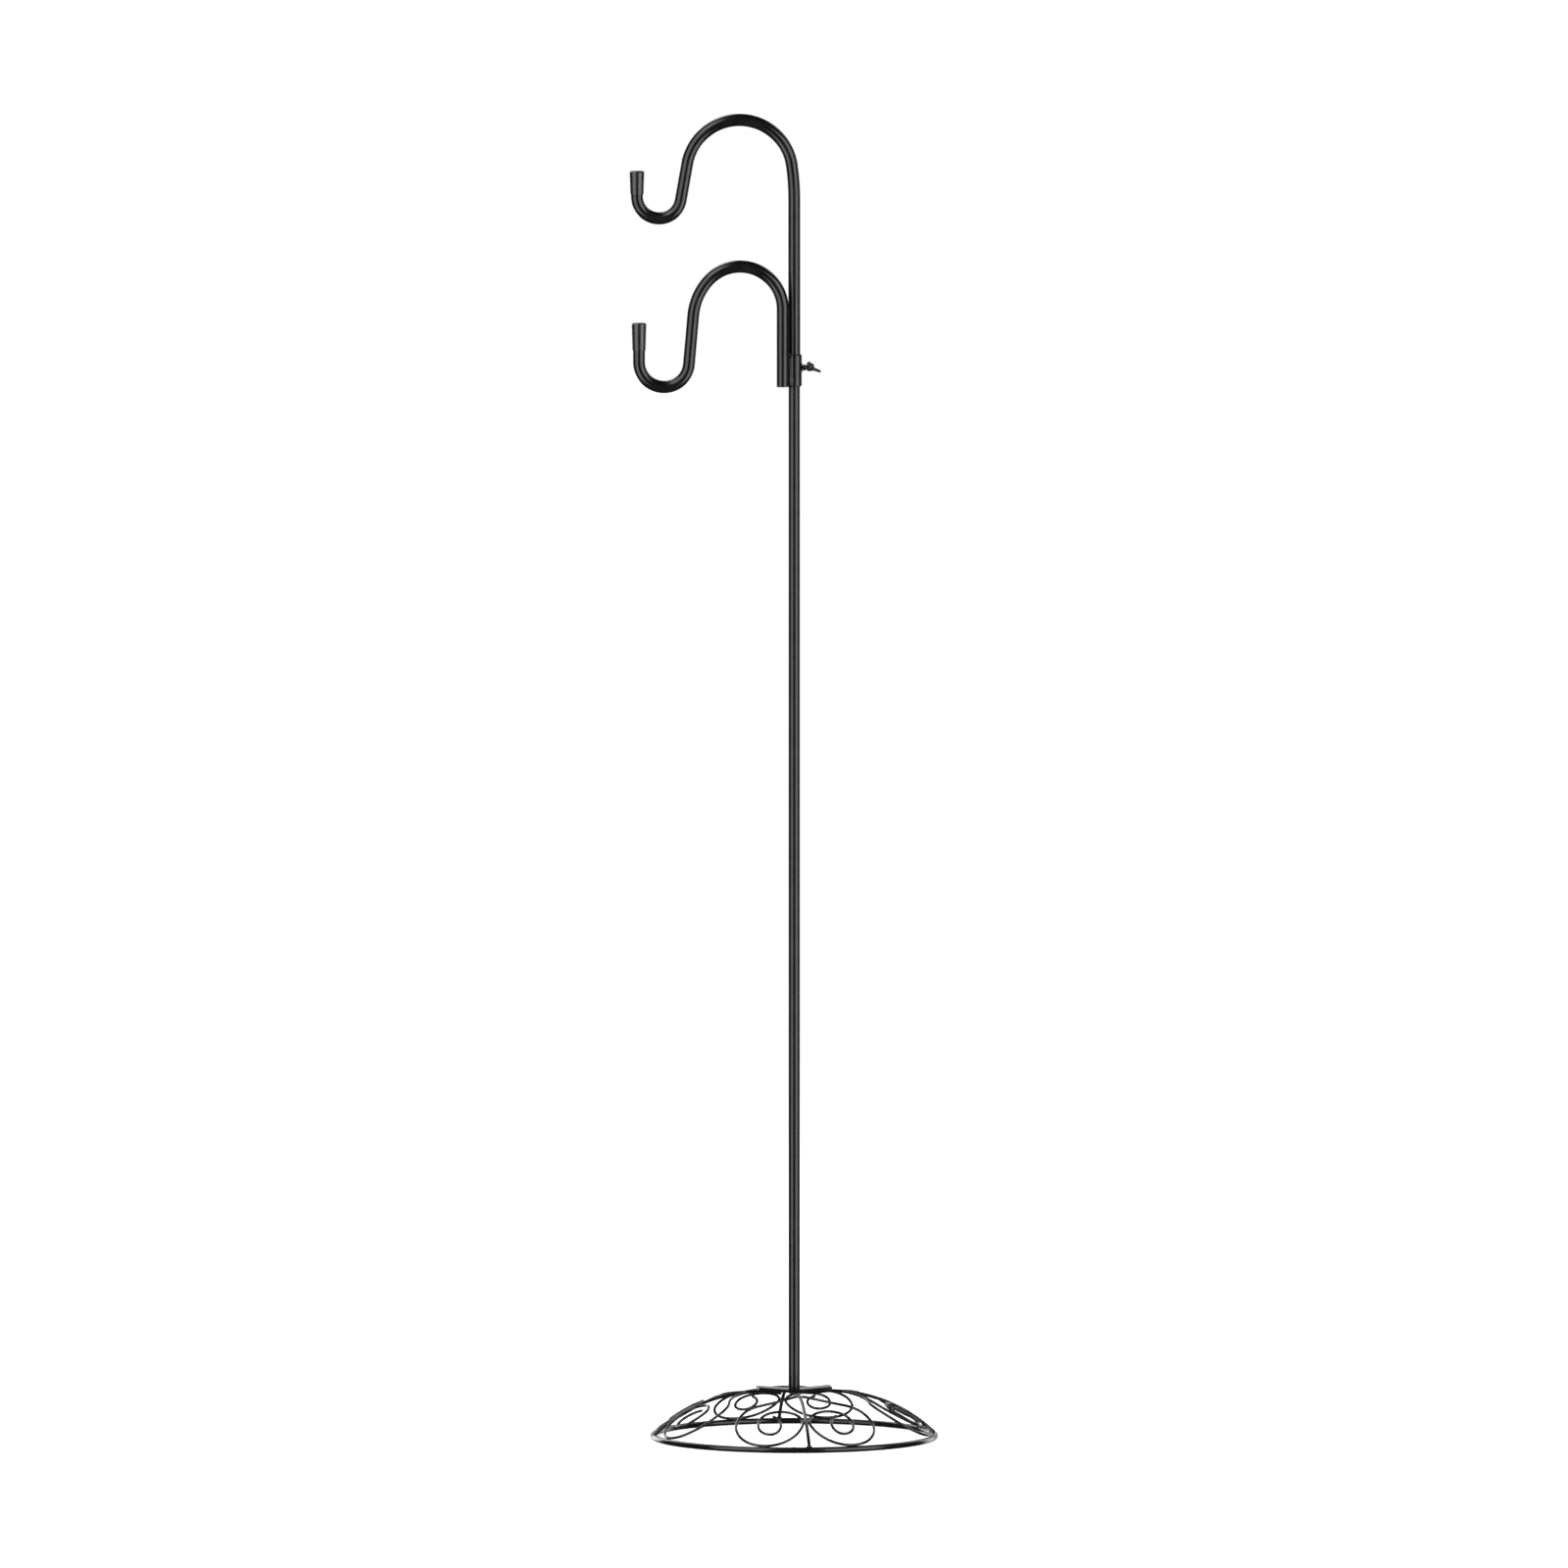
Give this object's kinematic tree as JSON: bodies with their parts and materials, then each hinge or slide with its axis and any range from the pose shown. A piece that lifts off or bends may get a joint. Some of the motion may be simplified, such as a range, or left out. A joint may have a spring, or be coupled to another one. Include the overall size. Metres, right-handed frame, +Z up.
{
  "type": "bird feeder pole",
  "caption": "Steel pole stand with a swivelling top hook and a clamped, sliding lower hook on a domed wire scroll base, for hanging a bird feeder.",
  "frame": {"origin": "on the pole's axis, on the ground that the rim ring stands on", "axes": "+Z up along the pole, -X along both hooks towards their tips, -Y the front"},
  "size_m": [0.3151, 0.294, 1.3576],
  "materials": {
    "powder_coat": "semi-gloss black powder coat on steel",
    "end_cap": "glossy black moulded plastic",
    "zinc_steel": "zinc-plated steel",
    "black_zinc": "black zinc-plated steel",
    "cast_head": "black painted zinc casting"
  },
  "bodies": {
    "base": {"rim_ring": "powder_coat", "rib_front": "powder_coat", "rib_right": "powder_coat", "rib_back": "powder_coat", "rib_left": "powder_coat", "scroll_front_right": "powder_coat", "scroll_front_left": "powder_coat", "scroll_right_back": "powder_coat", "scroll_right_front": "powder_coat", "scroll_back_left": "powder_coat", "scroll_back_right": "powder_coat", "scroll_left_front": "powder_coat", "scroll_left_back": "powder_coat", "base_strap": "powder_coat"},
    "pole": {"base_bolt": "black_zinc", "pole_foot_insert": "zinc_steel", "lower_pole": "powder_coat", "joint_spigot": "zinc_steel"},
    "top_hook": {"top_hook_tube": "powder_coat", "top_end_cap": "end_cap"},
    "lower_hook": {"lower_hook_tube": "powder_coat", "lower_end_cap": "end_cap", "clamp_sleeve": "powder_coat", "threaded_boss": "powder_coat"},
    "wing_stud": {"clamp_stud": "black_zinc"},
    "wing_head": {"wing_head": "cast_head"}
  },
  "joints": [
    {"name": "pole_turn", "type": "hinge", "parent": "base", "child": "pole", "pos_m": [0, 0, 0.0513], "axis": [0, 0, 1], "continuous": true},
    {"name": "top_hook_swivel", "type": "hinge", "parent": "pole", "child": "top_hook", "pos_m": [0, 0, 1.09], "axis": [0, 0, 1], "continuous": true},
    {"name": "lower_hook_slide", "type": "slide", "parent": "pole", "child": "lower_hook", "axis": [0, 0, 1], "range_m": [-1.02, 0.085]},
    {"name": "wing_travel", "type": "slide", "parent": "lower_hook", "child": "wing_stud", "axis": [0.9063, 0.4226, 0], "range_m": [0, 0.0024]},
    {"name": "wing_turn", "type": "hinge", "parent": "wing_stud", "child": "wing_head", "pos_m": [0, 0, 1.0976], "axis": [0.9063, 0.4226, 0], "range_deg": [0, 1081]}
  ],
  "couplings": [
    {"joint": "wing_turn", "follows": "wing_travel", "rad_per_m": 7854}
  ]
}
